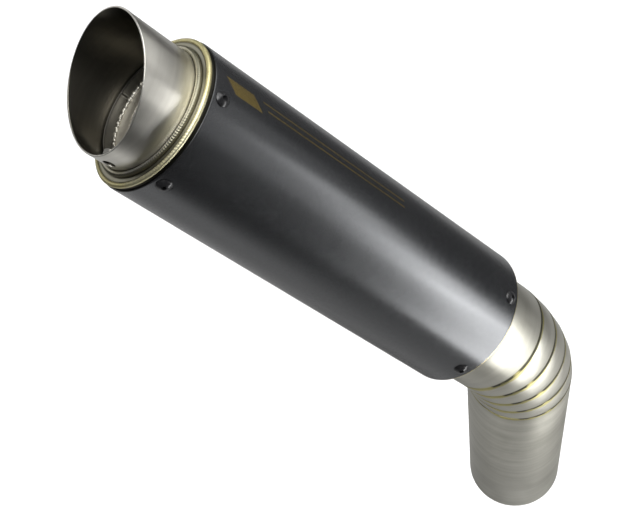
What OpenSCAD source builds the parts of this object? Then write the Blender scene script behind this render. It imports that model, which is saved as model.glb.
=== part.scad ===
// Slip-on motorcycle exhaust muffler.
// A straight inlet pipe turns through a mitred (pie-cut) bend into a round can. The can has a black
// outer sleeve, a welded cap at each end, and a slash-cut outlet tube that holds a removable baffle
// insert. Millimetres. The origin is the centre of the inlet pipe's open end, +Z runs up the pipe,
// and the can leans over towards -X in the XZ plane.

/* [Can] */
// Outside diameter of the outer sleeve
sleeve_d = 100; // [98:1:112]
// Length of the outer sleeve
sleeve_len = 287; // [220:1:360]
// Sheet thickness of the outer sleeve
sleeve_wall = 1.2; // [1:0.1:1.5]

/* [Inlet pipe and bend] */
// Outside diameter of the straight inlet pipe
pipe_d = 78.4; // [76:0.2:80]
// Wall thickness of the straight inlet pipe
pipe_wall = 1.5; // [1.4:0.1:2]
// Wall thickness of the pipe's bored-out end, the bend and the collar
thin_wall = 1; // [0.8:0.1:1]
// Length of the straight inlet pipe, along its axis
pipe_len = 239; // [150:1:320]
// Length of the pipe's end that is bored out to slip over a header pipe
socket_len = 60; // [40:1:80]
// Outside diameter of the collar where it enters the can
collar_d = 83.2; // [82:0.1:84]
// Length of the collar between the can and its first mitre
collar_len = 38; // [25:1:60]
// Axis length of each pie-cut segment of the bend
segment_len = 16; // [14:0.5:24]
// Angle that each mitre adds to the bend
mitre_step = 7.5; // [5:0.5:9]
// Width of the weld that joins two segments
weld_w = 1.6; // [1.2:0.1:2]

/* [Outlet tube] */
// Outside diameter of the outlet tube at the sleeve's rim
outlet_base_d = 79.7; // [79:0.1:80]
// Outside diameter of the outlet tube at its mouth
outlet_mouth_d = 80.8; // [80:0.1:82]
// Wall thickness of the outlet tube
outlet_wall = 1.25; // [1:0.05:1.4]
// How far the middle of the mouth stands out past the sleeve
outlet_len = 39.5; // [36:0.5:60]
// Angle of the slash cut across the mouth
slash_angle = 20; // [0:1:22]
// Way round the can that the mouth's long lip faces, from +X towards +Y
slash_turn = 78; // [0:1:359]
// Height of the insert's screw hole above the sleeve's rim
lock_hole_z = 15.5; // [14:0.5:17]
// Diameter of the insert's screw hole in the outlet tube
lock_hole_d = 8; // [7:0.1:9]

/* [Screws] */
// Number of screws round each end of the sleeve
screw_count = 5; // [3:1:8]
// Way round the can of the first screw
screw_turn = 3; // [0:1:71]
// Distance of the outlet screws from the sleeve's outlet rim
outlet_screw_inset = 7; // [6:0.5:9]
// Distance of the inlet screws from the sleeve's inlet rim
inlet_screw_inset = 8; // [6:0.5:9]

/* [Baffle insert] */
// Outside diameter of the insert's rolled ring
insert_d = 76; // [75:0.1:76]
// Height of the ring's front edge above the sleeve's rim
insert_front = 8; // [6:0.5:9]
// Outside diameter of the insert's perforated tube
insert_tube_d = 45; // [30:1:50]
// Length of the insert's perforated tube
insert_tube_len = 96; // [70:1:120]

/* [Hidden] */
$fn = 96;

mitres = 5;                                  // four segments between the pipe and the collar
slack = 0.05;                                // radial gap between two sheets that slip together
sleeve_r = sleeve_d / 2;
sleeve_in_r = sleeve_r - sleeve_wall;
pipe_r = pipe_d / 2;
collar_r = collar_d / 2;
bend_end_r = collar_r - 0.3;                 // the collar narrows a little towards the bend

cap_wall = 1.5;                              // end caps
band_r = sleeve_in_r - 0.1;
band_in_r = band_r - cap_wall;
plate_z = 3;                                 // underside of the outlet plate, above the rim
plate_top = plate_z + cap_wall;
outlet_band_len = 16;                        // reach of each cap inside the sleeve
inlet_band_len = 18;
inlet_plate_z = 0.3;                         // the inlet cap sits just inside the rim

base_r = outlet_base_d / 2;
mouth_r = outlet_mouth_d / 2;
outlet_flare = (mouth_r - base_r) / outlet_len;
neck_r = base_r - 0.2;                       // plain end of the outlet tube inside the can
neck_len = 12;
lip_z = outlet_len + mouth_r * tan(slash_angle) + 2;

cap_bead_r = 1.75;                           // weld beads
cap_bead_at = [band_r - 0.95, plate_z + 0.35];
tube_bead_r = 2;
tube_bead_at = [base_r + 1.65, plate_top + 0.8];
collar_bead_r = 1.4;

screw_d = 4.9;
screw_len = 8;
screw_hole_d = 5.5;
nut_bore_d = 5;
head_d = 9.5;
head_h = 2.7;
head_edge = 0.5;                             // height of the head's straight edge
head_dome_r = 6.2;
socket_af = 3;
socket_depth = 1.6;
seat_d = 10.4;                               // shallow flat that a head sits on
seat_r = sleeve_r - 0.3;
nut_af = 8;
nut_h = 4;
nut_face_r = band_in_r - 0.25;

core_r = bend_end_r - thin_wall + 0.2;       // slips into the collar and over the outlet tube's neck
core_wall = 0.8;
core_in_len = 8;
core_hole_d = 5;
core_rows = 10;
core_columns = 12;
wool_r = 43;
wool_inset = 15;
packing_inset = 20;

insert_r = insert_d / 2;
insert_wall = 1.1;
insert_in_r = insert_r - insert_wall;
insert_floor = -1;                           // underside of the insert's disc
insert_disc_t = 1.2;
disc_top = insert_floor + insert_disc_t;
insert_tube_r = insert_tube_d / 2;
insert_tube_top = 1.5;
insert_bead_r = 1.1;
insert_hole_d = 5;
insert_rows = 5;
insert_columns = 8;
tab_top = lock_hole_z + 6;
tab_half_angle = 13;
tab_hole_d = 6.6;
lock_nut_af = 10;
lock_nut_h = 4;
lock_nut_bore_d = 5;
lock_nut_face_r = insert_in_r - 0.5;
seat_gap = 0.4;                              // the insert stops just short of its seat
seat_ring_w = 2;

// How far the run has leaned over after a number of mitres
function lean(count) = count * mitre_step;

// Centre of mitre i, counted from 0 at the top of the inlet pipe
function mitre_x(i) = i == 0 ? 0 : mitre_x(i - 1) - segment_len * sin(lean(i));
function mitre_z(i) = i == 0 ? pipe_len : mitre_z(i - 1) + segment_len * cos(lean(i));

// Outside radius of the bend at mitre i
function bend_r(i) = pipe_r + (bend_end_r - pipe_r) * i / (mitres - 1);

// Places children at mitre i, leaning as far as a number of mitres
module at_mitre(i, count) {
    translate([mitre_x(i), 0, mitre_z(i)])
        rotate([0, -lean(count), 0])
            children();
}

// The can's own frame: its origin is in the sleeve's inlet rim and +Z runs towards the mouth
module can_frame() {
    at_mitre(mitres - 1, mitres)
        translate([0, 0, collar_len])
            children();
}

// The same frame, moved to the sleeve's outlet rim
module outlet_frame() {
    can_frame()
        translate([0, 0, sleeve_len])
            children();
}

// A tube or ring from z0 to z1, with a plain bore
module ring(r_out, r_in, z0, z1) {
    difference() {
        translate([0, 0, z0])
            cylinder(h = z1 - z0, r = r_out);
        translate([0, 0, z0 - 1])
            cylinder(h = z1 - z0 + 2, r = r_in);
    }
}

// A tapered tube from z0 to z1: r0 and r1 are its outside radii there
module tapered_tube(r0, r1, wall, z0, z1) {
    slope = (r1 - r0) / (z1 - z0);
    difference() {
        translate([0, 0, z0])
            cylinder(h = z1 - z0, r1 = r0, r2 = r1);
        translate([0, 0, z0 - 1])
            cylinder(h = z1 - z0 + 2, r1 = r0 - wall - slope, r2 = r1 - wall + slope);
    }
}

// A round weld bead swept round the axis
module bead(at, r) {
    rotate_extrude()
        translate(at)
            circle(r = r, $fn = 48);
}

// Everything below the weld of mitre i
module below_mitre(i) {
    at_mitre(i, i + 0.5)
        translate([-200, -200, -400 + weld_w / 2])
            cube([400, 400, 400]);
}

// Everything above the weld of mitre i
module above_mitre(i) {
    at_mitre(i, i + 0.5)
        translate([-200, -200, -weld_w / 2])
            cube([400, 400, 400]);
}

// Places children round the can, each with +Z pointing outwards at height z
module round_can(count, turn, z) {
    for (i = [0 : count - 1])
        rotate([0, 0, turn + i * 360 / count])
            translate([0, 0, z])
                rotate([0, 90, 0])
                    children();
}

// Cutters for radial holes through a wall of radius r
module drill_round(count, turn, z, r, d) {
    round_can(count, turn, z)
        translate([0, 0, r - 4])
            cylinder(h = 8, d = d);
}

module inlet_pipe() {
    color("silver")
        difference() {
            ring(pipe_r, pipe_r - pipe_wall, 0, pipe_len + 8);
            translate([0, 0, -1])
                cylinder(h = socket_len + 1, r = pipe_r - thin_wall);
            above_mitre(0);
        }
}

// Segment i of the bend, between mitre i - 1 and mitre i
module pie_segment(i) {
    spare = 6;
    growth = (bend_r(i) - bend_r(i - 1)) / segment_len * spare;
    color("silver")
        difference() {
            at_mitre(i - 1, i)
                tapered_tube(bend_r(i - 1) - growth, bend_r(i) + growth, thin_wall,
                             -spare, segment_len + spare);
            below_mitre(i - 1);
            above_mitre(i);
        }
}

// Weld i, in the gap at mitre i - 1, a little below the tubes' surface
module pie_weld(i) {
    color("darkkhaki")
        at_mitre(i - 1, i - 0.5)
            ring(bend_r(i - 1) - 0.1, bend_r(i - 1) - thin_wall - 0.1, -weld_w / 2, weld_w / 2);
}

module inlet_collar() {
    spare = 6;
    taper = (collar_r - bend_end_r) / collar_len;
    color("silver")
        difference() {
            at_mitre(mitres - 1, mitres)
                tapered_tube(bend_end_r - taper * spare, collar_r + taper * 3, thin_wall,
                             -spare, collar_len + 3);
            below_mitre(mitres - 1);
        }
}

// Spun cap: a plate round the collar with a band inside the sleeve
module inlet_end_cap() {
    color("silver")
        can_frame()
            difference() {
                ring(band_r, band_in_r, inlet_plate_z, inlet_band_len);
                drill_round(screw_count, screw_turn, inlet_screw_inset, band_r, screw_hole_d);
            }
    color("silver")
        can_frame()
            ring(band_in_r + 0.5, collar_r + slack, inlet_plate_z, inlet_plate_z + cap_wall);
}

module inlet_cap_weld() {
    color("darkkhaki")
        can_frame()
            difference() {
                bead([collar_r + 0.9, inlet_plate_z - 0.5], collar_bead_r);
                translate([0, 0, inlet_plate_z])
                    cylinder(h = 10, r = sleeve_r);
                translate([0, 0, -10])
                    cylinder(h = 20, r = collar_r + slack);
            }
}

module outer_sleeve() {
    color("darkslategray")
        can_frame()
            difference() {
                ring(sleeve_r, sleeve_in_r, 0, sleeve_len);
                for (z = [inlet_screw_inset, sleeve_len - outlet_screw_inset]) {
                    drill_round(screw_count, screw_turn, z, sleeve_r, screw_hole_d);
                    round_can(screw_count, screw_turn, z)
                        translate([0, 0, seat_r])
                            cylinder(h = 5, d = seat_d);
                }
            }
}

module outlet_end_plate() {
    color("silver")
        outlet_frame()
            difference() {
                ring(band_r - 0.2, base_r + 0.15, plate_z, plate_top);
                bead(cap_bead_at, cap_bead_r);
            }
}

module outlet_end_band() {
    color("silver")
        outlet_frame()
            difference() {
                ring(band_r, band_in_r, -outlet_band_len, plate_z);
                bead(cap_bead_at, cap_bead_r);
                drill_round(screw_count, screw_turn, -outlet_screw_inset, band_r, screw_hole_d);
            }
}

module outlet_cap_weld() {
    color("darkkhaki")
        outlet_frame()
            bead(cap_bead_at, cap_bead_r);
}

// Flared tube with a necked inner end, cut off at a slant and drilled for the insert's screw
module outlet_tube() {
    tip_r = mouth_r + outlet_flare * (lip_z - outlet_len);
    color("lightgray")
        outlet_frame()
            difference() {
                union() {
                    tapered_tube(base_r, tip_r, outlet_wall, 0, lip_z);
                    ring(neck_r, neck_r - outlet_wall, -neck_len, 0);
                }
                rotate([0, 0, slash_turn])
                    translate([0, 0, outlet_len])
                        rotate([0, -slash_angle, 0])
                            translate([-100, -100, 0])
                                cube([200, 200, 100]);
                rotate([0, 0, slash_turn + 180])
                    translate([0, 0, lock_hole_z])
                        rotate([0, 90, 0])
                            cylinder(h = 60, d = lock_hole_d);
            }
}

module outlet_tube_weld() {
    color("silver")
        outlet_frame()
            difference() {
                bead(tube_bead_at, tube_bead_r);
                translate([0, 0, plate_top - 10])
                    cylinder(h = 10, r = sleeve_r);
                cylinder(h = 12, r = base_r + 0.15);
            }
}

// Ring inside the outlet tube that the insert comes down to
module insert_seat() {
    color("gray")
        outlet_frame()
            ring(neck_r - outlet_wall, insert_in_r - 0.5,
                 insert_floor - seat_gap - seat_ring_w, insert_floor - seat_gap);
}

module perforated_core() {
    pitch = (sleeve_len - 60) / (core_rows - 1);
    color("gray")
        can_frame()
            difference() {
                ring(core_r, core_r - core_wall, -core_in_len, sleeve_len - 2);
                for (row = [0 : core_rows - 1])
                    rotate([0, 0, (row % 2) * 180 / core_columns])
                        drill_round(core_columns, 0, 28 + row * pitch, core_r, core_hole_d);
            }
}

module steel_wool_wrap() {
    color("dimgray")
        can_frame()
            ring(wool_r, core_r + slack, wool_inset, sleeve_len - wool_inset);
}

module glass_packing() {
    color("khaki")
        can_frame()
            ring(sleeve_in_r - slack, wool_r + slack, packing_inset, sleeve_len - packing_inset);
}

// Round-headed screw with a hex socket: +Z is outwards and its seat is at z = 0
module screw() {
    color("black")
        difference() {
            union() {
                translate([0, 0, -screw_len])
                    cylinder(h = screw_len + 0.1, d = screw_d);
                intersection() {
                    cylinder(h = head_h, d = head_d);
                    translate([0, 0, head_edge - sqrt(head_dome_r * head_dome_r - head_d * head_d / 4)])
                        sphere(r = head_dome_r);
                }
            }
            translate([0, 0, head_h - socket_depth])
                cylinder(h = 5, d = socket_af / cos(30), $fn = 6);
        }
}

module outlet_screws() {
    outlet_frame()
        round_can(screw_count, screw_turn, -outlet_screw_inset)
            translate([0, 0, seat_r])
                screw();
}

module inlet_screws() {
    can_frame()
        round_can(screw_count, screw_turn, inlet_screw_inset)
            translate([0, 0, seat_r])
                screw();
}

// Hex nut with its outer face at z = face_r
module nut(af, h, bore_d, face_r) {
    color("gray")
        translate([0, 0, face_r - h])
            difference() {
                cylinder(h = h, d = af / cos(30), $fn = 6);
                translate([0, 0, -1])
                    cylinder(h = h + 2, d = bore_d);
            }
}

module outlet_weld_nuts() {
    outlet_frame()
        round_can(screw_count, screw_turn, -outlet_screw_inset)
            nut(nut_af, nut_h, nut_bore_d, nut_face_r);
}

module inlet_weld_nuts() {
    can_frame()
        round_can(screw_count, screw_turn, inlet_screw_inset)
            nut(nut_af, nut_h, nut_bore_d, nut_face_r);
}

// Rolled ring with a drilled tab that stands up behind the lock screw's hole
module insert_ring() {
    color("gray")
        outlet_frame()
            difference() {
                ring(insert_r, insert_in_r, insert_floor, tab_top);
                rotate([0, 0, slash_turn + 180])
                    for (side = [-1, 1])
                        rotate([0, 0, side * tab_half_angle])
                            translate([-60, side > 0 ? 0 : -120, insert_front])
                                cube([120, 120, 40]);
                rotate([0, 0, slash_turn])
                    translate([0, -60, insert_front])
                        cube([60, 120, 40]);
                rotate([0, 0, slash_turn + 180])
                    translate([0, 0, lock_hole_z])
                        rotate([0, 90, 0])
                            cylinder(h = 60, d = tab_hole_d);
            }
}

module insert_disc() {
    color("gray")
        outlet_frame()
            ring(insert_in_r - slack, insert_tube_r + slack, insert_floor, disc_top);
}

module insert_disc_weld() {
    color("darkkhaki")
        outlet_frame()
            difference() {
                bead([insert_in_r - 0.6, disc_top + 0.4], insert_bead_r);
                translate([0, 0, disc_top - 5])
                    cylinder(h = 5, r = insert_r);
                ring(insert_r + 2, insert_in_r - slack, -5, 10);
            }
}

module insert_tube() {
    pitch = (insert_tube_len - 36) / (insert_rows - 1);
    bottom = insert_tube_top - insert_tube_len;
    color("gray")
        outlet_frame()
            difference() {
                ring(insert_tube_r, insert_tube_r - insert_wall, bottom, insert_tube_top);
                for (row = [0 : insert_rows - 1])
                    rotate([0, 0, (row % 2) * 180 / insert_columns])
                        drill_round(insert_columns, 0, bottom + 16 + row * pitch, insert_tube_r, insert_hole_d);
            }
}

module insert_tube_weld() {
    color("darkkhaki")
        outlet_frame()
            difference() {
                bead([insert_tube_r + 0.4, disc_top + 0.3], insert_bead_r);
                translate([0, 0, disc_top - 5])
                    cylinder(h = 5, r = insert_r);
                translate([0, 0, -5])
                    cylinder(h = 10, r = insert_tube_r + slack);
            }
}

// Plate with a small hole that closes the insert's inner end
module insert_end_plate() {
    low = insert_tube_top - insert_tube_len + 2;
    color("gray")
        outlet_frame()
            ring(insert_tube_r - insert_wall - slack, 10, low, low + 1.5);
}

module insert_weld_nut() {
    color("gray")
        outlet_frame()
            round_can(1, slash_turn + 180, lock_hole_z)
                nut(lock_nut_af, lock_nut_h, lock_nut_bore_d, lock_nut_face_r);
}

inlet_pipe();
pie_segment(1);  // pie_segment_1
pie_segment(2);  // pie_segment_2
pie_segment(3);  // pie_segment_3
pie_segment(4);  // pie_segment_4
pie_weld(1);  // pie_weld_1
pie_weld(2);  // pie_weld_2
pie_weld(3);  // pie_weld_3
pie_weld(4);  // pie_weld_4
pie_weld(5);  // pie_weld_5
inlet_collar();
inlet_end_cap();
inlet_cap_weld();
outer_sleeve();
outlet_end_plate();
outlet_end_band();
outlet_cap_weld();
outlet_tube();
outlet_tube_weld();
insert_seat();
perforated_core();
steel_wool_wrap();
glass_packing();
outlet_screws();
inlet_screws();
outlet_weld_nuts();
inlet_weld_nuts();
insert_ring();
insert_disc();
insert_disc_weld();
insert_tube();
insert_tube_weld();
insert_end_plate();
insert_weld_nut();
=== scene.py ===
"""Looks of a slip-on exhaust muffler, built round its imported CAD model. Metres, in the model's frame."""

import math

import bpy
from mathutils import Matrix, Vector, noise


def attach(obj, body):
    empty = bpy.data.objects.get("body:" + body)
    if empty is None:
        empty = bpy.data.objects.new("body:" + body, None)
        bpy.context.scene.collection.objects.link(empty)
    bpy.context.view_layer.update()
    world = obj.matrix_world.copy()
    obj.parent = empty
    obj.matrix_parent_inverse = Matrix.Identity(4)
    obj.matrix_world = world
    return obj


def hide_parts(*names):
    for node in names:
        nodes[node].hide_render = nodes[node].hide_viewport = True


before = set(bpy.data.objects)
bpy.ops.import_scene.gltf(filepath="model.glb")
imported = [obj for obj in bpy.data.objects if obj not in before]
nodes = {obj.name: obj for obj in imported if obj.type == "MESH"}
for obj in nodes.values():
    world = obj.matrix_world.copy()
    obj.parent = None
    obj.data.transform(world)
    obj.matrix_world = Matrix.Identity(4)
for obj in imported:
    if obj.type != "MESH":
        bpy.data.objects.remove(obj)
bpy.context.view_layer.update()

MM = 0.001
TURN = 2 * math.pi

# The run of the muffler, as in the CAD: a pipe up +Z, a bend of mitred segments, then the can
PIPE_R = 39.2 * MM
PIPE_WALL = 1.5 * MM
THIN_WALL = 1.0 * MM
PIPE_LEN = 239 * MM
SOCKET_LEN = 60 * MM
COLLAR_R = 41.6 * MM
BEND_END_R = 41.3 * MM
COLLAR_LEN = 38 * MM
SEGMENT_LEN = 16 * MM
MITRES = 5
MITRE_STEP = math.radians(7.5)
WELD_W = 1.6 * MM

SLEEVE_R = 50 * MM
SLEEVE_WALL = 1.2 * MM
SLEEVE_LEN = 287 * MM

SCREWS = 5
SCREW_TURN = math.radians(3)
OUTLET_SCREW_INSET = 7 * MM
INLET_SCREW_INSET = 8 * MM
SCREW_SEAT_R = 49.7 * MM
SCREW_SEAT_D = 10.4 * MM
SCREW_HOLE_R = 2.75 * MM
CUT_START_R = 40 * MM
CUT_END_R = 55 * MM

BASE_R = 39.85 * MM
MOUTH_R = 40.4 * MM
TUBE_WALL = 1.25 * MM
TUBE_LEN = 39.5 * MM
NECK_LEN = 12 * MM
SLASH = math.radians(20)
SLASH_TURN = math.radians(78)
LOCK_Z = 15.5 * MM
LOCK_D = 8 * MM

PLATE_Z = 3 * MM
PLATE_TOP = 4.5 * MM
BAND_R = 48.7 * MM
BAND_WALL = 1.5 * MM
BAND_LEN = 16 * MM
BAND_TOP = 1.9 * MM
INLET_BAND_LEN = 18 * MM
INLET_PLATE_Z = 0.3 * MM

RING_R = 38 * MM
RING_WALL = 1.1 * MM
RING_FRONT = 8 * MM
FLOOR_Z = -1 * MM
DISC_TOP = 0.2 * MM
INNER_R = 22.5 * MM
INNER_LEN = 96 * MM
INNER_TOP = 1.5 * MM
TAB_TOP = LOCK_Z + 6 * MM
TAB_HALF = math.radians(13)
TAB_CORNER = 4 * MM
RING_SEAM = math.radians(149)
HOLE_R = 2.5 * MM
FIRST_ROW = 16 * MM
ROWS_SPAN = INNER_LEN - 36 * MM
HOLE_ROWS = 5
HOLE_COLUMNS = 8


# ---------------------------------------------------------------- places

def leaned(origin, lean):
    """The frame at origin whose +Z leans from the row's +Z towards -X."""
    return Matrix.Translation(origin) @ Matrix.Rotation(-lean, 4, "Y")


def mitre_point(i):
    """Centre of mitre i, counted from 0 at the top of the inlet pipe."""
    point = Vector((0, 0, PIPE_LEN))
    for k in range(1, i + 1):
        point += leaned((0, 0, 0), k * MITRE_STEP) @ Vector((0, 0, SEGMENT_LEN))
    return point


CAN_LEAN = MITRES * MITRE_STEP
CAN = leaned(mitre_point(MITRES - 1), CAN_LEAN) @ Matrix.Translation((0, 0, COLLAR_LEN))
OUTLET = CAN @ Matrix.Translation((0, 0, SLEEVE_LEN))


def bend_r(i):
    """Outside radius of the bend at mitre i."""
    return PIPE_R + (BEND_END_R - PIPE_R) * i / (MITRES - 1)


# ---------------------------------------------------------------- mesh tools

def new_piece(name, verts, faces, body="root", sharp=35):
    mesh = bpy.data.meshes.new(name)
    mesh.from_pydata([tuple(v) for v in verts], [], faces)
    mesh.validate()
    piece = bpy.data.objects.new(name, mesh)
    bpy.context.scene.collection.objects.link(piece)
    smooth(piece, sharp)
    if body:
        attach(piece, body)
    return piece


def smooth(piece, sharp=35):
    mesh = piece.data
    mesh.polygons.foreach_set("use_smooth", [True] * len(mesh.polygons))
    mesh.set_sharp_from_angle(angle=math.radians(sharp))


def lathe(name, profile, place, body="root", steps=256, sharp=35):
    """Sweeps a closed profile of (radius, height) round +Z of place.
    A profile point can be a function of the angle, which gives (radius, height) there."""
    verts = []
    for k in range(steps):
        angle = TURN * k / steps
        for point in profile:
            r, z = point(angle) if callable(point) else point
            verts.append(place @ Vector((r * math.cos(angle), r * math.sin(angle), z)))
    n = len(profile)
    faces = []
    for k in range(steps):
        a = k * n
        b = (k + 1) % steps * n
        for i in range(n):
            j = (i + 1) % n
            faces.append((a + i, b + i, b + j, a + j))
    return new_piece(name, verts, faces, body, sharp)


def fillet(points, radius, steps=4):
    """Rounds every corner of a closed profile with an arc of that radius, or its own from a third value."""
    out = []
    n = len(points)
    for i in range(n):
        p = Vector(points[i][:2])
        r = points[i][2] if len(points[i]) > 2 else radius
        before = (Vector(points[i - 1][:2]) - p)
        after = (Vector(points[(i + 1) % n][:2]) - p)
        half = before.angle(after) / 2
        if r <= 0 or half > math.radians(88):
            out.append(tuple(p))
            continue
        cut = min(r / math.tan(half), before.length * 0.48, after.length * 0.48)
        r = cut * math.tan(half)
        middle = p + (before.normalized() + after.normalized()).normalized() * r / math.sin(half)
        start = p + before.normalized() * cut - middle
        end = p + after.normalized() * cut - middle
        sweep = start.angle_signed(end)
        for k in range(steps + 1):
            turn = -sweep * k / steps
            cosine = math.cos(turn)
            sine = math.sin(turn)
            x = middle.x + start.x * cosine - start.y * sine
            y = middle.y + start.x * sine + start.y * cosine
            out.append((x, y))
    return out


def box_profile(r_in, r_out, z0, z1, radius, steps=4):
    return fillet([(r_in, z0), (r_out, z0), (r_out, z1), (r_in, z1)], radius, steps)


def prism(radius, z0, z1, place, sides=48):
    """A plain cylinder or prism, used as a cutter."""
    verts, faces = [], []
    for z in (z0, z1):
        for k in range(sides):
            a = TURN * k / sides
            verts.append(place @ Vector((radius * math.cos(a), radius * math.sin(a), z)))
    for k in range(sides):
        j = (k + 1) % sides
        faces.append((k, j, sides + j, sides + k))
    faces.append(tuple(reversed(range(sides))))
    faces.append(tuple(range(sides, 2 * sides)))
    return new_piece("cutter", verts, faces, body=None)


def carve(piece, cutters, sharp=35):
    """Cuts the cutters out of the piece for good, and removes them."""
    for cutter in cutters:
        cut = piece.modifiers.new("cut", "BOOLEAN")
        cut.operation = "DIFFERENCE"
        cut.solver = "EXACT"
        cut.object = cutter
    bpy.context.view_layer.update()
    result = piece.evaluated_get(bpy.context.evaluated_depsgraph_get())
    mesh = bpy.data.meshes.new_from_object(result)
    piece.modifiers.clear()
    piece.data = mesh
    for cutter in cutters:
        bpy.data.objects.remove(cutter)
    smooth(piece, sharp)


def radial(place, angle, z):
    """The frame on place's axis at height z, with +Z pointing outwards at that angle."""
    turned = place @ Matrix.Rotation(angle, 4, "Z") @ Matrix.Translation((0, 0, z))
    return turned @ Matrix.Rotation(math.pi / 2, 4, "Y")


def screw_places(place, z):
    return [radial(place, SCREW_TURN + TURN * k / SCREWS, z) for k in range(SCREWS)]


def screw_holes(place, z):
    """Cutters for a ring of screw holes."""
    return [prism(SCREW_HOLE_R, CUT_START_R, CUT_END_R, seat, 32) for seat in screw_places(place, z)]


# ---------------------------------------------------------------- materials

class Shader:
    """A small wrapper for building a node material."""

    def __init__(self, name, **inputs):
        self.material = bpy.data.materials.new(name)
        self.material.use_nodes = True
        self.tree = self.material.node_tree
        self.bsdf = self.tree.nodes["Principled BSDF"]
        for key, value in inputs.items():
            self.bsdf.inputs[key.replace("_", " ")].default_value = value

    def node(self, kind, **settings):
        made = self.tree.nodes.new("ShaderNode" + kind)
        for key, value in settings.items():
            setattr(made, key, value)
        return made

    def link(self, a, b):
        self.tree.links.new(a, b)

    def coords(self, place=None, scale=(1, 1, 1)):
        """Object coordinates, moved into the frame place and then scaled."""
        source = self.node("TexCoord").outputs["Object"]
        if place is not None:
            moved = self.node("Mapping", vector_type="TEXTURE")
            moved.inputs["Location"].default_value = place.to_translation()
            moved.inputs["Rotation"].default_value = place.to_euler()
            self.link(source, moved.inputs["Vector"])
            source = moved.outputs["Vector"]
        scaled = self.node("Mapping", vector_type="POINT")
        scaled.inputs["Scale"].default_value = scale
        self.link(source, scaled.inputs["Vector"])
        return scaled.outputs["Vector"]

    def split(self, vector):
        made = self.node("SeparateXYZ")
        self.link(vector, made.inputs[0])
        return made.outputs

    def radius(self, place):
        """Distance from the axis of place."""
        x, y, _ = self.split(self.coords(place))
        return self.math("SQRT", self.math("ADD", self.math("POWER", x, 2), self.math("POWER", y, 2)))

    def noise(self, vector, scale, detail=3.0, rough=0.5, distortion=0.0):
        made = self.node("TexNoise")
        made.inputs["Scale"].default_value = scale
        made.inputs["Detail"].default_value = detail
        made.inputs["Roughness"].default_value = rough
        made.inputs["Distortion"].default_value = distortion
        self.link(vector, made.inputs["Vector"])
        return made.outputs["Fac"]

    def ramp(self, factor, stops):
        made = self.node("ValToRGB")
        ramp = made.color_ramp
        while len(ramp.elements) < len(stops):
            ramp.elements.new(0.5)
        for element, (at, colour) in zip(ramp.elements, stops):
            element.position = at
            element.color = (*colour, 1) if len(colour) == 3 else colour
        self.link(factor, made.inputs["Fac"])
        return made.outputs["Color"]

    def range(self, factor, low, high, from_low=0.0, from_high=1.0):
        made = self.node("MapRange")
        made.inputs["From Min"].default_value = from_low
        made.inputs["From Max"].default_value = from_high
        made.inputs["To Min"].default_value = low
        made.inputs["To Max"].default_value = high
        self.link(factor, made.inputs["Value"])
        return made.outputs["Result"]

    def mix(self, a, b, factor, blend="MIX"):
        made = self.node("Mix", data_type="RGBA", blend_type=blend)
        if isinstance(factor, float):
            made.inputs["Factor"].default_value = factor
        else:
            self.link(factor, made.inputs["Factor"])
        for value, socket in ((a, made.inputs[6]), (b, made.inputs[7])):
            if isinstance(value, tuple):
                socket.default_value = (*value, 1)
            else:
                self.link(value, socket)
        return made.outputs[2]

    def grey(self, value):
        made = self.node("CombineColor")
        for socket in made.inputs[:3]:
            self.link(value, socket)
        return made.outputs[0]

    def math(self, operation, a, b=0.0):
        made = self.node("Math", operation=operation)
        for value, socket in ((a, made.inputs[0]), (b, made.inputs[1])):
            if isinstance(value, (int, float)):
                socket.default_value = value
            else:
                self.link(value, socket)
        return made.outputs[0]

    def bump(self, height, strength, distance):
        made = self.node("Bump")
        made.inputs["Strength"].default_value = strength
        made.inputs["Distance"].default_value = distance
        self.link(height, made.inputs["Height"])
        self.link(made.outputs["Normal"], self.bsdf.inputs["Normal"])

    def along(self, place):
        """Turns the shader's tangent along the axis of place."""
        axis = place.to_quaternion() @ Vector((0, 0, 1))
        made = self.node("CombineXYZ")
        for value, socket in zip(axis, made.inputs):
            socket.default_value = value
        self.link(made.outputs[0], self.bsdf.inputs["Tangent"])

    def set(self, **links):
        for key, output in links.items():
            self.link(output, self.bsdf.inputs[key.replace("_", " ")])
        return self.material


STRAW = (0.4, 0.36, 0.13)
# Dark patches along the seams are painted shade of the gap between the tubes
SEAM_GAP_SHADE = (0.04, 0.04, 0.033)
# Darker colour inside the outlet tube: partly soot, partly painted shade deep in the tube
SOOT_AND_SHADE = (0.3, 0.29, 0.265)
INSIDE_ROUGHNESS = 0.29
# Painted shade of grooves: beside the weld beads on the outlet plate, and just above the outlet tube's foot
# weld
GROOVE_SHADE = (0.12, 0.11, 0.085)


def heat_tint_and_gap_shade(s, colour, seam):
    """Seam marks: straw heat tint on the pipe's side, painted shade of the seam's gap in patches on the
    can's side.
    """
    at = s.coords(seam)
    across, _, height = s.split(at)
    wander = s.range(s.noise(at, 32, 4, 0.6), -0.0018, 0.0016, 0.35, 0.65)
    below = s.math("ADD", s.math("MULTIPLY", height, -1.0), wander)
    fading = s.range(below, 0.9, 0.0, 0.0022, 0.0034)
    straw = s.math("MULTIPLY", fading, s.range(height, 0.9, 0.0, 0.0009, 0.002))
    colour = s.mix(colour, STRAW, straw)
    place = s.math("ADD", s.noise(at, 30, 2, 0.5), s.range(across, -0.05, 0.1, -0.02, 0.04))
    patch = s.range(place, 0.0, 0.96, 0.5, 0.54)
    # Painted shade of the seam's gap, in patches along it
    gap_shade = s.math("MULTIPLY", patch, s.range(height, 0.0, 1.0, -0.0014, -0.0008))
    gap_shade = s.math("MULTIPLY", gap_shade, s.range(height, 1.0, 0.0, 0.0013, 0.0019))
    return s.mix(colour, SEAM_GAP_SHADE, gap_shade)


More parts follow.
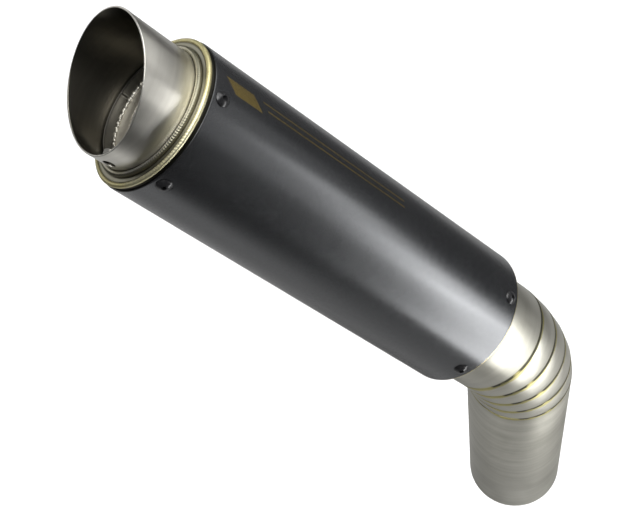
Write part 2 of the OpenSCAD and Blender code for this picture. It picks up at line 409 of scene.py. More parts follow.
def brushed(
    name, place, base, dark, roughness=(0.36, 0.46), lines=900, bump=0.05, stretch=0.4,
    seams=(), soot_and_shade_r=None, creases=(), foot=None,
):
    """Metal brushed round the axis of place, so its highlights stretch along the axis, with faint smudges.
    seams are frames whose XY planes are welds, which tint the metal beside them and lay painted shade in
    their gaps. Inside the given inner radius the metal is darker: soot, and painted shade deep in a tube.
    creases are pairs of radii, and foot is a frame and two heights: painted shade of a groove lies at the
    first of each and has gone at the second."""
    s = Shader(name, Metallic=1.0, Anisotropic=stretch)
    rings = s.noise(s.coords(place, (3, 3, lines)), 1.0, 3, 0.55)
    bands = s.noise(s.coords(place, (9, 9, 130)), 1.0, 3, 0.5, 0.4)
    smudge = s.noise(s.coords(place), 26, 4, 0.6, 0.6)
    tone = s.math("ADD", s.math("MULTIPLY", bands, 0.45), s.math("MULTIPLY", smudge, 0.55))
    colour = s.mix(dark, base, s.range(tone, 0, 1, 0.36, 0.6))
    colour = s.mix(colour, s.grey(s.range(rings, 0.955, 1.03, 0.3, 0.7)), 1.0, "MULTIPLY")
    smoothest, roughest = roughness
    rough = s.math(
        "ADD", s.range(rings, 0, roughest - smoothest, 0.3, 0.7),
        s.range(smudge, smoothest - 0.03, smoothest + 0.05, 0.3, 0.7),
    )
    for seam in seams:
        colour = heat_tint_and_gap_shade(s, colour, seam)
    # Inside the given radius the colour is darkened: soot, and painted shade deep in the tube
    if soot_and_shade_r:
        sooty_shaded = s.math("LESS_THAN", s.radius(place), soot_and_shade_r)
        outer_part = s.math("SUBTRACT", 1.0, sooty_shaded)
        colour = s.mix(colour, SOOT_AND_SHADE, sooty_shaded, "MULTIPLY")
        rough = s.math("ADD", s.math("MULTIPLY", rough, outer_part), s.math("MULTIPLY", sooty_shaded, INSIDE_ROUGHNESS))
    # Painted shade of the grooves at these radii and heights
    for start, end in creases:
        colour = s.mix(colour, GROOVE_SHADE, s.range(s.radius(place), 1.0, 0.0, start, end))
    if foot:
        foot_place, start, end = foot
        height = s.split(s.coords(foot_place))[2]
        colour = s.mix(colour, GROOVE_SHADE, s.range(height, 1.0, 0.0, start, end))
    s.bump(rings, bump, 0.00004)
    s.along(place)
    return s.set(Base_Color=colour, Roughness=rough)


def weld(name, place, count, gold, pale, dark, rough, dark_share=0.3, edge_shade=None):
    """Weld metal with straw, gold and dark heat marks in patches round the axis.
    The optional colour and two radii are painted shade: the weld takes that colour between the first and the
    second."""
    s = Shader(name, Metallic=1.0)
    patch = s.noise(s.coords(place), count, 3, 0.6)
    fine = s.noise(s.coords(place), 900, 4, 0.6)
    colour = s.ramp(patch, [(dark_share, dark), (dark_share + 0.06, gold), (0.52, gold), (0.62, pale)])
    colour = s.mix(colour, s.ramp(fine, [(0.3, (0.6, 0.6, 0.6)), (0.6, (1, 1, 1))]), 0.6, "MULTIPLY")
    # Painted shade of a groove beside the weld
    if edge_shade:
        edge_shade_colour, start, end = edge_shade
        colour = s.mix(colour, edge_shade_colour, s.range(s.radius(place), 0.0, 1.0, start, end))
    s.bump(fine, 0.35, 0.00012)
    return s.set(Base_Color=colour, Roughness=s.range(fine, rough, rough + 0.16, 0.3, 0.7))


STRIPE_SLANT = 0.8
BARE_EDGE = 0.8 * MM


def sleeve_finish():
    """Satin black coating, a bare golden edge at the inlet rim, and plain gold stripes near the outlet."""
    s = Shader("sleeve_black", IOR=1.75)
    s.bsdf.inputs["Specular Tint"].default_value = (0.95, 0.972, 1, 1)
    grain = s.noise(s.coords(CAN), 5200, 3, 0.6)
    cloud = s.noise(s.coords(CAN), 22, 4, 0.6)
    x, y, z = s.split(s.coords(CAN))
    turn = s.math("MULTIPLY", s.math("ARCTAN2", y, x), SLEEVE_R)
    s.bump(grain, 0.05, 0.00003)

    def inside(value, low, high):
        return s.math("MULTIPLY", s.math("GREATER_THAN", value, low), s.math("LESS_THAN", value, high))

    def stripe(turn_low, turn_high, from_rim, to_rim):
        """Between two angles, in degrees, and between two distances from the outlet rim, in mm."""
        low = math.radians(turn_low) * SLEEVE_R
        high = math.radians(turn_high) * SLEEVE_R
        along = s.math("SUBTRACT", z, s.math("MULTIPLY", turn, STRIPE_SLANT))
        middle = STRIPE_SLANT * (low + high) / 2
        start = SLEEVE_LEN - to_rim * MM - middle
        end = SLEEVE_LEN - from_rim * MM - middle
        return s.math("MULTIPLY", inside(turn, low, high), inside(along, start, end))

    mark = stripe(12.5, 23.5, 12, 34)
    for band in (stripe(16.6, 17.8, 42, 166), stripe(22.2, 23.5, 38, 166)):
        mark = s.math("MAXIMUM", mark, band)
    bare = s.math("LESS_THAN", z, BARE_EDGE)
    black = s.mix((0.0052, 0.0054, 0.006), (0.0078, 0.008, 0.0088), cloud)
    ink = s.mix((0.36, 0.27, 0.09), (0.58, 0.44, 0.17), grain)
    colour = s.mix(s.mix(black, ink, mark), (0.62, 0.54, 0.3), bare)
    even = s.range(cloud, 0.26, 0.285, 0.3, 0.7)
    rough = s.math("ADD", even, s.range(grain, -0.015, 0.015, 0.3, 0.7))
    return s.set(Base_Color=colour, Roughness=rough, Metallic=s.math("MAXIMUM", mark, bare))


def black_oxide():
    s = Shader("black_oxide", IOR=1.4)
    grain = s.noise(s.coords(), 1600, 3, 0.6)
    s.bump(grain, 0.1, 0.00005)
    colour = s.mix((0.006, 0.006, 0.0065), (0.016, 0.016, 0.017), grain)
    return s.set(Base_Color=colour, Roughness=s.range(grain, 0.22, 0.34, 0.3, 0.7))


def wool(name, low, high):
    s = Shader(name)
    fibre = s.noise(s.coords(CAN, (900, 900, 260)), 1.0, 5, 0.7, 1.2)
    s.bump(fibre, 0.9, 0.0012)
    return s.set(Base_Color=s.mix(low, high, fibre), Roughness=s.range(fibre, 0.8, 0.95))


TITANIUM = (0.5, 0.49, 0.435)
TITANIUM_DARK = (0.4, 0.39, 0.34)
STEEL_ROUGHNESS = (0.28, 0.42)

SLEEVE_BLACK = sleeve_finish()
SCREW_BLACK = black_oxide()
CAN_METAL = brushed("can_titanium", CAN, TITANIUM, TITANIUM_DARK)
INNER_METAL = brushed("inner_steel", CAN, (0.16, 0.155, 0.14), (0.1, 0.098, 0.088), STEEL_ROUGHNESS)
DISC_METAL = brushed("disc_steel", CAN, (0.55, 0.53, 0.48), (0.42, 0.4, 0.36), (0.3, 0.42), stretch=0.0)
NUT_METAL = brushed("nut_steel", CAN, (0.34, 0.33, 0.3), (0.22, 0.21, 0.19), STEEL_ROUGHNESS)


def paint(piece, material):
    piece.data.materials.clear()
    piece.data.materials.append(material)


def stand_for(piece, node, material):
    paint(piece, material)
    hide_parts(node)


# ---------------------------------------------------------------- inlet pipe and bend

EDGE = 0.25 * MM
HALF_STEP = MITRE_STEP / 2
BEND_STEPS = 224
PIPE_PLACE = leaned((0, 0, 0), 0)


def tube_between(name, place, r0, r1, low, high, wall, material, node):
    """A straight or tapered tube. low and high give the height of each end at an angle and a radius."""
    span = max(high(0, r0) - low(0, r0), 1e-9)

    def rim(end, inset, drop, sign):
        def point(angle):
            z = end(angle, r0)
            share = (z - low(0, r0)) / span
            return r0 + (r1 - r0) * min(max(share, 0), 1) - inset, z + sign * drop
        return point

    profile = [
        rim(low, wall - 0.4 * EDGE, 0, 1),
        rim(low, EDGE, 0, 1),
        rim(low, 0.3 * EDGE, 0.3 * EDGE, 1),
        rim(low, 0, EDGE, 1),
        rim(high, 0, EDGE, -1),
        rim(high, 0.3 * EDGE, 0.3 * EDGE, -1),
        rim(high, EDGE, 0, -1),
        rim(high, wall - 0.4 * EDGE, 0, -1),
        rim(high, wall, 0.6 * EDGE, -1),
        rim(low, wall, 0.6 * EDGE, 1),
    ]
    stand_for(lathe(name, profile, place, steps=BEND_STEPS), node, material)


def plane_end(z, tilt, gap):
    """Height of a mitre cut that tilts towards the bend, gap away from the mitre's own plane."""
    return lambda angle, r: z + r * math.cos(angle) * math.tan(tilt) + gap / math.cos(tilt)


def seam_place(i):
    """The frame of mitre i, with the weld's plane as its XY plane."""
    return leaned(mitre_point(i), (i + 0.5) * MITRE_STEP)


def pipe_top(inset, drop):
    """A ring of the inlet pipe's mitred end: inset from the outside, drop below the cut."""
    end = plane_end(PIPE_LEN, HALF_STEP, -WELD_W / 2)
    return lambda angle: (PIPE_R - inset, end(angle, PIPE_R) - drop)


pipe = lathe(
    "inlet_pipe_metal",
    [
        (PIPE_R - THIN_WALL, 0.4 * EDGE), (PIPE_R - THIN_WALL + 0.4 * EDGE, 0), (PIPE_R - EDGE, 0),
        (PIPE_R - 0.3 * EDGE, 0.3 * EDGE), (PIPE_R, EDGE),
        pipe_top(0, EDGE), pipe_top(0.3 * EDGE, 0.3 * EDGE), pipe_top(EDGE, 0), pipe_top(PIPE_WALL, 0),
        (PIPE_R - PIPE_WALL, SOCKET_LEN), (PIPE_R - THIN_WALL, SOCKET_LEN),
    ],
    PIPE_PLACE, steps=BEND_STEPS,
)
pipe_metal = brushed("pipe_titanium", PIPE_PLACE, TITANIUM, (0.37, 0.36, 0.31), seams=[seam_place(0)])
stand_for(pipe, "inlet_pipe", pipe_metal)

for i in range(1, MITRES):
    place = leaned(mitre_point(i - 1), i * MITRE_STEP)
    seams = [seam_place(i - 1), seam_place(i)]
    metal = brushed(f"segment_titanium_{i}", place, TITANIUM, TITANIUM_DARK, seams=seams)
    tube_between(
        f"pie_segment_{i}_metal", place, bend_r(i - 1), bend_r(i),
        plane_end(0, -HALF_STEP, WELD_W / 2), plane_end(SEGMENT_LEN, HALF_STEP, -WELD_W / 2),
        THIN_WALL, metal, f"pie_segment_{i}",
    )

collar_place = leaned(mitre_point(MITRES - 1), CAN_LEAN)
collar_metal = brushed("collar_titanium", CAN, TITANIUM, TITANIUM_DARK, seams=[seam_place(MITRES - 1)])
tube_between(
    "inlet_collar_metal", collar_place, BEND_END_R, COLLAR_R,
    plane_end(0, -HALF_STEP, WELD_W / 2), lambda a, r: COLLAR_LEN + 3 * MM,
    THIN_WALL, collar_metal, "inlet_collar",
)


def bend_weld(i):
    """Thin fused seam at mitre i - 1, a little below the tubes' surface, uneven along its length."""
    place = seam_place(i - 1)
    r = bend_r(i - 1)
    half = WELD_W / 2
    root_r = r - THIN_WALL - 0.05 * MM

    def surface(z, sag):
        def point(angle):
            lump = noise.noise(Vector((math.cos(angle) * 9, math.sin(angle) * 9, i * 5.3)))
            ripple = math.sin(angle * 190 + i) * 0.02 * MM
            return r - 0.16 * MM - sag + lump * 0.05 * MM + ripple, z
        return point

    profile = [
        (root_r, -half), surface(-half, 0.12 * MM), surface(-half * 0.5, 0.02 * MM), surface(0, 0),
        surface(half * 0.5, 0.02 * MM), surface(half, 0.12 * MM), (root_r, half),
    ]
    piece = lathe(f"pie_weld_{i}_bead", profile, place, steps=720)
    s = Shader(f"weld_tint_{i}", Metallic=1.0)
    fine = s.noise(s.coords(place), 900, 4, 0.6)
    s.bump(fine, 0.3, 0.0001)
    colour = heat_tint_and_gap_shade(s, s.mix((0.36, 0.33, 0.2), (0.46, 0.43, 0.3), fine), place)
    material = s.set(Base_Color=colour, Roughness=s.range(fine, 0.3, 0.45, 0.3, 0.7))
    stand_for(piece, f"pie_weld_{i}", material)


for i in range(1, MITRES + 1):
    bend_weld(i)


# ---------------------------------------------------------------- can

SLEEVE_IN_R = SLEEVE_R - SLEEVE_WALL
# Extra rings near the rims keep the shading of the long wall even
sleeve = lathe(
    "outer_sleeve_skin",
    fillet([
        (SLEEVE_IN_R, 0), (SLEEVE_R, 0, 0.55 * MM), (SLEEVE_R, 1.6 * MM, 0), (SLEEVE_R, 16 * MM, 0),
        (SLEEVE_R, SLEEVE_LEN - 16 * MM, 0), (SLEEVE_R, SLEEVE_LEN - 1 * MM, 0), (SLEEVE_R, SLEEVE_LEN),
        (SLEEVE_IN_R, SLEEVE_LEN),
    ], 0.35 * MM),
    CAN, steps=347,
)
cutters = []
for seat in screw_places(CAN, INLET_SCREW_INSET) + screw_places(CAN, SLEEVE_LEN - OUTLET_SCREW_INSET):
    cutters.append(prism(SCREW_HOLE_R, 45 * MM, CUT_END_R, seat, 32))
    cutters.append(prism(SCREW_SEAT_D / 2, SCREW_SEAT_R, CUT_END_R, seat, 64))
carve(sleeve, cutters)
stand_for(sleeve, "outer_sleeve", SLEEVE_BLACK)


def arc_bead(
    name, place, node, material, *, centre, radius, start, end, count, height,
    body="root", lean=0.9, knobs=0.0, steps=1440, sections=14,
):
    """A weld bead: an arc of a circle from angle start to end in the profile, closed by its chord.
    count is the number of weld drops round it, each a ripple of that height, and knobs the size of lumps."""
    def at(k):
        share = k / sections
        turn = start + (end - start) * share
        across = 2 * share - 1
        edge_shade = max(0.0, 1 - across * across) ** 0.5

        def point(angle):
            phase = angle * count / TURN + lean * (1 - across * across) * 0.5
            step = phase - math.floor(phase)
            ripple = (1 - abs(2 * step - 1) ** 1.5 - 0.5) * height
            lump = knobs * noise.noise(Vector((math.cos(angle) * 22, math.sin(angle) * 22, across * 0.8)))
            r = radius + (ripple + lump) * edge_shade
            return centre[0] + r * math.cos(turn), centre[1] + r * math.sin(turn)
        return point

    piece = lathe(name, [at(k) for k in range(sections + 1)], place, body, steps, sharp=60)
    stand_for(piece, node, material)


band = lathe("outlet_band_metal", fillet([
    (BAND_R - BAND_WALL, -BAND_LEN), (BAND_R, -BAND_LEN), (BAND_R, BAND_TOP), (BAND_R - BAND_WALL, BAND_TOP),
], 0.2 * MM), OUTLET)
carve(band, screw_holes(OUTLET, -OUTLET_SCREW_INSET))
# The band's exposed rim is coloured near black as painted shade of the groove beside the gold weld
band_shade_paint = brushed("band_painted_shade", CAN, (0.05, 0.047, 0.036), (0.035, 0.033, 0.026))
stand_for(band, "outlet_end_band", band_shade_paint)

PLATE_R = 46.3 * MM
PLATE_IN_R = BASE_R + 0.15 * MM
plate = lathe("outlet_plate_metal", fillet([
    (PLATE_IN_R, PLATE_Z), (PLATE_R, PLATE_Z), (PLATE_R, PLATE_TOP - 0.1 * MM), (PLATE_IN_R, PLATE_TOP),
], 0.1 * MM), OUTLET)
# The creases darken the plate with painted shade of the grooves beside the two weld beads
plate_metal = brushed(
    "plate_titanium", OUTLET, (0.36, 0.345, 0.27), (0.28, 0.27, 0.2),
    creases=((43.5 * MM, 44.4 * MM), (46.2 * MM, 45.3 * MM)),
)
stand_for(plate, "outlet_end_plate", plate_metal)

gold_weld = weld(
    "cap_weld_gold", OUTLET, 16, gold=(0.62, 0.565, 0.31), pale=(0.66, 0.63, 0.44), dark=(0.4, 0.35, 0.17),
    rough=0.42, dark_share=0.2,
)
# The foot weld's outer edge takes painted shade of the groove between it and the plate
foot_weld = weld(
    "foot_weld_silver", OUTLET, 14, gold=(0.56, 0.53, 0.4), pale=(0.62, 0.6, 0.54), dark=(0.36, 0.33, 0.25),
    rough=0.34, dark_share=0.22, edge_shade=((0.2, 0.19, 0.14), 41.9 * MM, 42.5 * MM),
)
arc_bead(
    "outlet_cap_bead", OUTLET, "outlet_cap_weld", gold_weld,
    centre=(47.75 * MM, 3.35 * MM), radius=1.6 * MM, start=0, end=TURN * 15 / 16,
    count=150, height=0.2 * MM, lean=1.4, sections=22,
)
arc_bead(
    "outlet_tube_bead", OUTLET, "outlet_tube_weld", foot_weld,
    centre=(41.5 * MM, 5.3 * MM), radius=1.95 * MM, start=math.radians(-22), end=math.radians(146),
    count=160, height=0.18 * MM, lean=1.4,
)

# ---------------------------------------------------------------- outlet tube

LOCK_TURN = SLASH_TURN + math.pi


def tube_ring(inset, drop):
    """A ring of the outlet tube that follows the slash cut: inset from the outside, drop below the cut."""
    def point(angle):
        flare = (MOUTH_R - BASE_R) / TUBE_LEN
        lip = TUBE_LEN + MOUTH_R * math.cos(angle - SLASH_TURN) * math.tan(SLASH)
        z = lip - drop
        return BASE_R + flare * z - inset, z
    return point


def lock_hole(radius):
    """A cutter for the lock screw's hole."""
    return prism(radius, 30 * MM, 50 * MM, radial(OUTLET, LOCK_TURN, LOCK_Z), 64)


NECK_R = BASE_R - 0.2 * MM
outlet_tube = lathe(
    "outlet_tube_metal",
    [
        (NECK_R - TUBE_WALL, -NECK_LEN),
        (NECK_R, -NECK_LEN),
        (NECK_R, -0.4 * MM),
        (BASE_R, 0),
        tube_ring(0, 12 * MM),
        tube_ring(0, 0.5 * MM),
        tube_ring(0.04 * MM, 0.24 * MM),
        tube_ring(0.18 * MM, 0.07 * MM),
        tube_ring(0.4 * MM, 0),
        tube_ring(TUBE_WALL - 0.4 * MM, 0),
        tube_ring(TUBE_WALL - 0.18 * MM, 0.07 * MM),
        tube_ring(TUBE_WALL - 0.04 * MM, 0.24 * MM),
        tube_ring(TUBE_WALL, 0.5 * MM),
        tube_ring(TUBE_WALL, 12 * MM),
        (BASE_R - TUBE_WALL, 0),
    ],
    OUTLET, steps=360,
)
carve(outlet_tube, [lock_hole(LOCK_D / 2)])
# Just above its foot weld the tube is darkened with painted shade of the groove there
outlet_metal = brushed(
    "outlet_titanium", CAN, (0.62, 0.605, 0.555), (0.54, 0.525, 0.475), roughness=(0.31, 0.36),
    # The darker inside is soot, and painted shade deep in the tube
    lines=500, bump=0.0, stretch=0.6, soot_and_shade_r=39.5 * MM, foot=(OUTLET, 6.7 * MM, 7.6 * MM),
)
stand_for(outlet_tube, "outlet_tube", outlet_metal)

# ---------------------------------------------------------------- screws

HEX_HALF = math.radians(30)


def screw_mesh():
    """One button head with a hex socket and its shank, with +Z outwards and its seat at 0."""
    dome_r = 6.2 * MM
    rim_r = 4.75 * MM
    rim_z = 0.5 * MM
    top_z = 2.7 * MM
    shank_r = 2.45 * MM
    shank_len = 8 * MM
    axis_r = 0.02 * MM
    socket_r = 1.5 * MM / math.cos(HEX_HALF)
    dome_z = rim_z - math.sqrt(dome_r ** 2 - rim_r ** 2)
    profile = [
        (axis_r, -shank_len), (2.2 * MM, -shank_len), (shank_r, -7.6 * MM), (shank_r, 0),
        (4.6 * MM, 0), (rim_r, 0.15 * MM),
    ]
    for k in range(13):
        r = rim_r * (1 - k / 12)
        profile.append((max(r, axis_r), min(dome_z + math.sqrt(dome_r ** 2 - r * r), top_z)))
    blank = lathe("screw_blank", profile, Matrix.Identity(4), None, steps=64)
    carve(blank, [
        prism(socket_r, 1.1 * MM, 4 * MM, Matrix.Identity(4), 6),
        prism(0.7 * MM, 0.8 * MM, 2 * MM, Matrix.Identity(4), 24),
    ])
    return take_mesh(blank)


def take_mesh(blank):
    """The mesh of a piece that is only a pattern, which goes."""
    mesh = blank.data
    bpy.data.objects.remove(blank)
    return mesh


def copies(name, mesh, places, depth, node, material, body="root"):
    """One piece of a mesh at several places, each moved out to depth along its own +Z."""
    verts, faces = [], []
    for place in places:
        start = len(verts)
        seat = place @ Matrix.Translation((0, 0, depth))
        verts += [seat @ v.co for v in mesh.vertices]
        faces += [tuple(start + i for i in p.vertices) for p in mesh.polygons]
    stand_for(new_piece(name, verts, faces, body), node, material)


OUTLET_RING = screw_places(OUTLET, -OUTLET_SCREW_INSET)
INLET_RING = screw_places(CAN, INLET_SCREW_INSET)
screw = screw_mesh()
copies("outlet_screw_set", screw, OUTLET_RING, SCREW_SEAT_R, "outlet_screws", SCREW_BLACK)
copies("inlet_screw_set", screw, INLET_RING, SCREW_SEAT_R, "inlet_screws", SCREW_BLACK)

# ---------------------------------------------------------------- caps inside the sleeve and weld nuts

CAP_IN_R = COLLAR_R + 0.05 * MM
CAP_BACK_Z = INLET_PLATE_Z + 1.5 * MM
cap = lathe("inlet_cap_metal", fillet([
    (CAP_IN_R, INLET_PLATE_Z, 0.1 * MM), (BAND_R, INLET_PLATE_Z, 1.3 * MM),
    (BAND_R, INLET_BAND_LEN, 0.2 * MM), (BAND_R - BAND_WALL, INLET_BAND_LEN, 0.2 * MM),
    (BAND_R - BAND_WALL, CAP_BACK_Z, 0.6 * MM), (CAP_IN_R, CAP_BACK_Z, 0.1 * MM),
], 0.1 * MM), CAN)
carve(cap, screw_holes(CAN, INLET_SCREW_INSET))
stand_for(cap, "inlet_end_cap", CAN_METAL)
arc_bead(
    "inlet_cap_bead", CAN, "inlet_cap_weld", gold_weld,
    centre=(42.9 * MM, 0.1 * MM), radius=1.25 * MM, start=math.radians(171), end=math.radians(369),
    count=150, height=0.1 * MM, lean=1.4,
)

NUT_HEIGHT = 4 * MM
NUT_BORE = 5 * MM


def nut_mesh(across):
    """A hex nut along +Z with its foot at 0: both ends chamfered, and the bore's mouths countersunk."""
    half = across / 2
    round_r = half - 0.1 * MM
    bore_r = NUT_BORE / 2
    sink = 0.35 * MM

    def hexagon(angle):
        return half / math.cos((angle + HEX_HALF) % (2 * HEX_HALF) - HEX_HALF)

    def chamfer(angle):
        return 0.15 * MM + (hexagon(angle) - half) * math.tan(HEX_HALF)

    profile = [
        (bore_r, sink), (bore_r + sink, 0), (round_r, 0),
        lambda angle: (hexagon(angle), chamfer(angle)),
        lambda angle: (hexagon(angle), NUT_HEIGHT - chamfer(angle)),
        (round_r, NUT_HEIGHT), (bore_r + sink, NUT_HEIGHT), (bore_r, NUT_HEIGHT - sink),
    ]
    return take_mesh(lathe("nut_blank", profile, Matrix.Identity(4), None, steps=96, sharp=25))


NUT_FOOT_R = BAND_R - BAND_WALL - 4.25 * MM
nut = nut_mesh(8 * MM)
copies("outlet_nut_set", nut, OUTLET_RING, NUT_FOOT_R, "outlet_weld_nuts", NUT_METAL)
copies("inlet_nut_set", nut, INLET_RING, NUT_FOOT_R, "inlet_weld_nuts", NUT_METAL)

# ---------------------------------------------------------------- baffle insert

BODY = "baffle_insert"
RING_IN_R = RING_R - RING_WALL
INNER_BOTTOM = INNER_TOP - INNER_LEN


def turn_between(angle, middle):
    return (angle - middle + math.pi) % TURN - math.pi


def ring_front(angle):
    """Height of the insert ring's front edge, which rises to a round tab behind the lock screw's hole."""
    across = abs(turn_between(angle, LOCK_TURN)) * RING_R
    half = TAB_HALF * RING_R
    if across >= half:
        return RING_FRONT
    over = max(0.0, across - (half - TAB_CORNER))
    return TAB_TOP - TAB_CORNER + math.sqrt(max(TAB_CORNER ** 2 - over ** 2, 0))


def ring_inner(angle, ridge_share):
    """Inner radius of the insert ring, with that share of the ridge of its own seam."""
    across = turn_between(angle, RING_SEAM) * RING_IN_R / MM
    ridge = 0.24 * math.exp(-(across / 0.45) ** 2) - 0.1 * math.exp(-((across - 1.0) / 0.3) ** 2)
    return RING_IN_R - ridge * MM * ridge_share


insert_ring = lathe("insert_ring_metal", [
    (RING_R - 0.3 * MM, FLOOR_Z),
    (RING_R, FLOOR_Z + 0.3 * MM),
    lambda a: (RING_R, ring_front(a) - 0.55 * MM),
    lambda a: (RING_R - 0.16 * MM, ring_front(a) - 0.16 * MM),
    lambda a: (RING_R - 0.55 * MM, ring_front(a)),
    lambda a: (RING_IN_R + 0.16 * MM, ring_front(a) - 0.16 * MM),
    lambda a: (ring_inner(a, 0.4), ring_front(a) - 0.55 * MM),
    lambda a: (ring_inner(a, 1), ring_front(a) - 1.2 * MM),
    lambda a: (ring_inner(a, 1), 1.6 * MM),
    (RING_IN_R, FLOOR_Z),
], OUTLET, BODY, steps=1440)
carve(insert_ring, [lock_hole(3.3 * MM)])
stand_for(insert_ring, "insert_ring", INNER_METAL)

DISC_IN_R = INNER_R + 0.05 * MM
DISC_R = RING_IN_R - 0.05 * MM
GROOVE_Z = DISC_TOP - 0.25 * MM
disc = lathe("insert_disc_metal", fillet([
    (DISC_IN_R, FLOOR_Z), (DISC_R, FLOOR_Z), (DISC_R, DISC_TOP), (34 * MM, DISC_TOP, 0),
    (33 * MM, GROOVE_Z, 0), (27 * MM, GROOVE_Z, 0), (26 * MM, DISC_TOP, 0), (DISC_IN_R, DISC_TOP),
], 0.1 * MM), OUTLET, BODY)
stand_for(disc, "insert_disc", DISC_METAL)

rough_weld = weld(
    "insert_weld_pale", OUTLET, 40, gold=(0.36, 0.345, 0.3), pale=(0.6, 0.58, 0.52),
    dark=(0.06, 0.055, 0.045), rough=0.4,
)
arc_bead(
    "insert_disc_bead", OUTLET, "insert_disc_weld", rough_weld,
    centre=(36.15 * MM, 0.5 * MM), radius=1.1 * MM, start=math.radians(-60), end=math.radians(200),
    count=58, height=0.5 * MM, body=BODY, lean=0.5, knobs=0.5 * MM,
)
arc_bead(
    "insert_tube_bead", OUTLET, "insert_tube_weld", rough_weld,
    centre=(23 * MM, 0.5 * MM), radius=1.05 * MM, start=math.radians(-20), end=math.radians(235),
    count=60, height=0.16 * MM, body=BODY, knobs=0.15 * MM, steps=720,
)

tube_profile = box_profile(INNER_R - 1.1 * MM, INNER_R, INNER_BOTTOM, INNER_TOP, 0.3 * MM)
inner_tube = lathe("insert_tube_metal", tube_profile, OUTLET, BODY, steps=187)
cutters = []
for row in range(HOLE_ROWS):
    z = INNER_BOTTOM + FIRST_ROW + row * ROWS_SPAN / (HOLE_ROWS - 1)
    for k in range(HOLE_COLUMNS):
        turn = TURN * (k + (row % 2) / 2) / HOLE_COLUMNS
        cutters.append(prism(HOLE_R, 18 * MM, 26 * MM, radial(OUTLET, turn, z), 32))
carve(inner_tube, cutters)
stand_for(inner_tube, "insert_tube", INNER_METAL)

end_z = INNER_BOTTOM + 2 * MM
end_profile = box_profile(10 * MM, INNER_R - 1.15 * MM, end_z, end_z + 1.5 * MM, 0.3 * MM)
end_plate = lathe("insert_end_metal", end_profile, OUTLET, BODY, steps=192)
stand_for(end_plate, "insert_end_plate", INNER_METAL)

copies(
    "insert_lock_nut", nut_mesh(10 * MM), [radial(OUTLET, LOCK_TURN, LOCK_Z)], RING_IN_R - 4.5 * MM,
    "insert_weld_nut", INNER_METAL, BODY,
)

# ---------------------------------------------------------------- hidden inside the can

seat_profile = box_profile(RING_IN_R - 0.5 * MM, NECK_R - TUBE_WALL, -3.4 * MM, -1.4 * MM, 0.25 * MM)
stand_for(lathe("insert_seat_metal", seat_profile, OUTLET), "insert_seat", INNER_METAL)

# Three nodes are carried over as they are
paint(nodes["perforated_core"], INNER_METAL)
paint(nodes["steel_wool_wrap"], wool("wire_wool", (0.08, 0.08, 0.08), (0.5, 0.5, 0.5)))
paint(nodes["glass_packing"], wool("glass_wool", (0.45, 0.38, 0.2), (0.9, 0.85, 0.65)))

# ---------------------------------------------------------------- camera

CAMERA_AT = (0.0406, -0.3868, 1.2725)
LENS = 81.67
SENSOR = 36

camera = bpy.data.objects.new("camera", bpy.data.cameras.new("camera"))
bpy.context.scene.collection.objects.link(camera)
forward = Vector((-0.1823, 0.3954, -0.9003))
up = Vector((-0.1501, 0.8937, 0.4229))
right = forward.cross(up).normalized()
up = right.cross(forward).normalized()
turned = Matrix((right, up, -forward)).transposed()
camera.matrix_world = Matrix.Translation(CAMERA_AT) @ turned.to_4x4()
camera.data.lens = LENS
camera.data.sensor_width = SENSOR
camera.data.clip_start = 0.05
camera.data.clip_end = 50
bpy.context.scene.camera = camera

# ---------------------------------------------------------------- studio


def panel(name, at, towards, width, height, power, along=(0, 0, 1)):
    """A soft box at a place, facing a point, with its height along a direction.
    Sizes are in metres and the power in watts."""
    data = bpy.data.lights.new(name, "AREA")
    data.shape = "RECTANGLE"
    data.size = width
    data.size_y = height
    data.energy = power
    light = bpy.data.objects.new(name, data)
    back = (Vector(at) - Vector(towards)).normalized()
    side = Vector(along).cross(back).normalized()
    facing = Matrix((side, back.cross(side), back)).transposed()
    light.matrix_world = Matrix.Translation(at) @ facing.to_4x4()
    light.visible_camera = False
    bpy.context.scene.collection.objects.link(light)


# Three narrow boxes in a row along the can's right side, one beside the mouth, and a wide dim one
UPWARDS = (0, -0.59, 0.81)
panel("right_low", (0.53, -0.327, 0.163), (-0.07, 0, 0.37), 0.62, 0.19, 3.9, (-0.05, -0.59, 0.81))
panel("right_middle", (0.59, -0.045, 0.362), (-0.12, 0, 0.43), 0.2, 0.17, 0.85, UPWARDS)
panel("right_high", (0.56, 0.12, 0.488), (-0.17, 0, 0.5), 0.2, 0.15, 0.35, UPWARDS)
panel("mouth_right", (0.28, 0.62, 0.63), (-0.22, 0, 0.6), 0.62, 0.2, 0.42, (-0.61, 0, 0.79))
panel("right_wide", (0.62, 0.14, 0.64), (-0.2, 0, 0.55), 0.82, 0.42, 0.68)

# A large box high behind the can, and a weak one behind its left side
panel("high_back", (-0.06, 0.62, 1.35), (-0.22, 0, 0.56), 1.0, 0.8, 11)
panel("left_back", (-1.1, 0.42, 0.62), (-0.2, 0, 0.55), 0.7, 0.7, 1.6)

# Soft light from straight above
sun = bpy.data.objects.new("overhead", bpy.data.lights.new("overhead", "SUN"))
sun.data.energy = 3.5
sun.data.angle = math.radians(40)
bpy.context.scene.collection.objects.link(sun)

FLOOR_AT = -0.8
FLOOR_HALF = 7
WALL_HIGH = 6
CARD_HALF = 2.0
CORNERS = ((-1, -1), (1, -1), (1, 1), (-1, 1))
# Middle x and y of a patch of light on the floor, its reach, and its gain
GLOW_PATCHES = ((-0.25, -0.08, 0.36, -0.3), (0.35, 0.12, 0.4, -0.34), (-0.55, -1.5, 0.7, 0.42))


def backdrop(name, verts, faces, paint_of):
    mesh = bpy.data.meshes.new(name)
    mesh.from_pydata(verts, [], faces)
    piece = bpy.data.objects.new(name, mesh)
    bpy.context.scene.collection.objects.link(piece)
    s = Shader(name + "_paint", Roughness=0.9)
    s.bsdf.inputs["Emission Color"].default_value = (1, 1, 1, 1)
    paint_of(s)
    mesh.materials.append(s.material)
    return piece


def reflect_only(piece):
    """A reflector card: the metal mirrors it, and nothing else sees it."""
    piece.visible_camera = False
    piece.visible_diffuse = False
    piece.visible_shadow = False


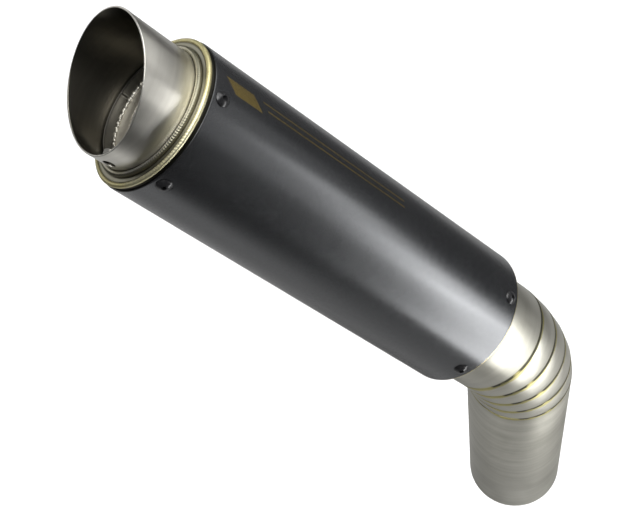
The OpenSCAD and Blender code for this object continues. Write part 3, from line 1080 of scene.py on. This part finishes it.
def pale(s, glow):
    grain = s.noise(s.coords(), 3.0, 3, 0.5)
    s.set(Base_Color=s.mix((0.885, 0.885, 0.885), (0.9, 0.9, 0.9), grain))
    s.bsdf.inputs["Emission Strength"].default_value = glow


def under_glow(s):
    """Soft light from below, dim on both sides of the pipe's foot and brighter far to the front left."""
    s.bsdf.inputs["Base Color"].default_value = (0, 0, 0, 1)
    glow = 0.53
    for x, y, reach, gain in GLOW_PATCHES:
        away = s.node("VectorMath", operation="DISTANCE")
        s.link(s.coords(), away.inputs[0])
        away.inputs[1].default_value = (x, y, FLOOR_AT)
        glow = s.math("ADD", glow, s.range(away.outputs["Value"], gain, 0.0, reach * 0.3, reach))
    s.set(Emission_Strength=glow)


def square(half, z):
    return [(x * half, y * half, z) for x, y in CORNERS]


floor = backdrop("floor", square(FLOOR_HALF, FLOOR_AT), [(0, 1, 2, 3)], lambda s: pale(s, 0.02))
floor.visible_glossy = False
reflect_only(backdrop("floor_card", square(CARD_HALF, FLOOR_AT + 0.01), [(0, 1, 2, 3)], under_glow))
wall = backdrop(
    "backdrop", square(FLOOR_HALF, FLOOR_AT) + square(FLOOR_HALF, WALL_HIGH),
    [(k, (k + 1) % 4, 4 + (k + 1) % 4, 4 + k) for k in range(4)] + [(4, 5, 6, 7)], lambda s: pale(s, 0.85),
)
wall.visible_glossy = False
wall.visible_diffuse = False
wall.visible_shadow = False


def back_glow(s):
    s.bsdf.inputs["Base Color"].default_value = (0, 0, 0, 1)
    s.bsdf.inputs["Emission Strength"].default_value = 0.1


card_at = Vector((0.377, 0.763, 0.1))
card_side = Vector((-0.84, 0.54, 0)) * 0.6
card_corners = [card_at + card_side * a + Vector((0, 0, 0.36 * b)) for a, b in CORNERS]
reflect_only(backdrop("back_card", card_corners, [(0, 1, 2, 3)], back_glow))

world = bpy.data.worlds.new("studio")
world.use_nodes = True
world.node_tree.nodes["Background"].inputs["Color"].default_value = (0.04, 0.04, 0.042, 1)
bpy.context.scene.world = world
bpy.context.scene.view_settings.view_transform = "Standard"
bpy.context.scene.view_settings.look = "None"
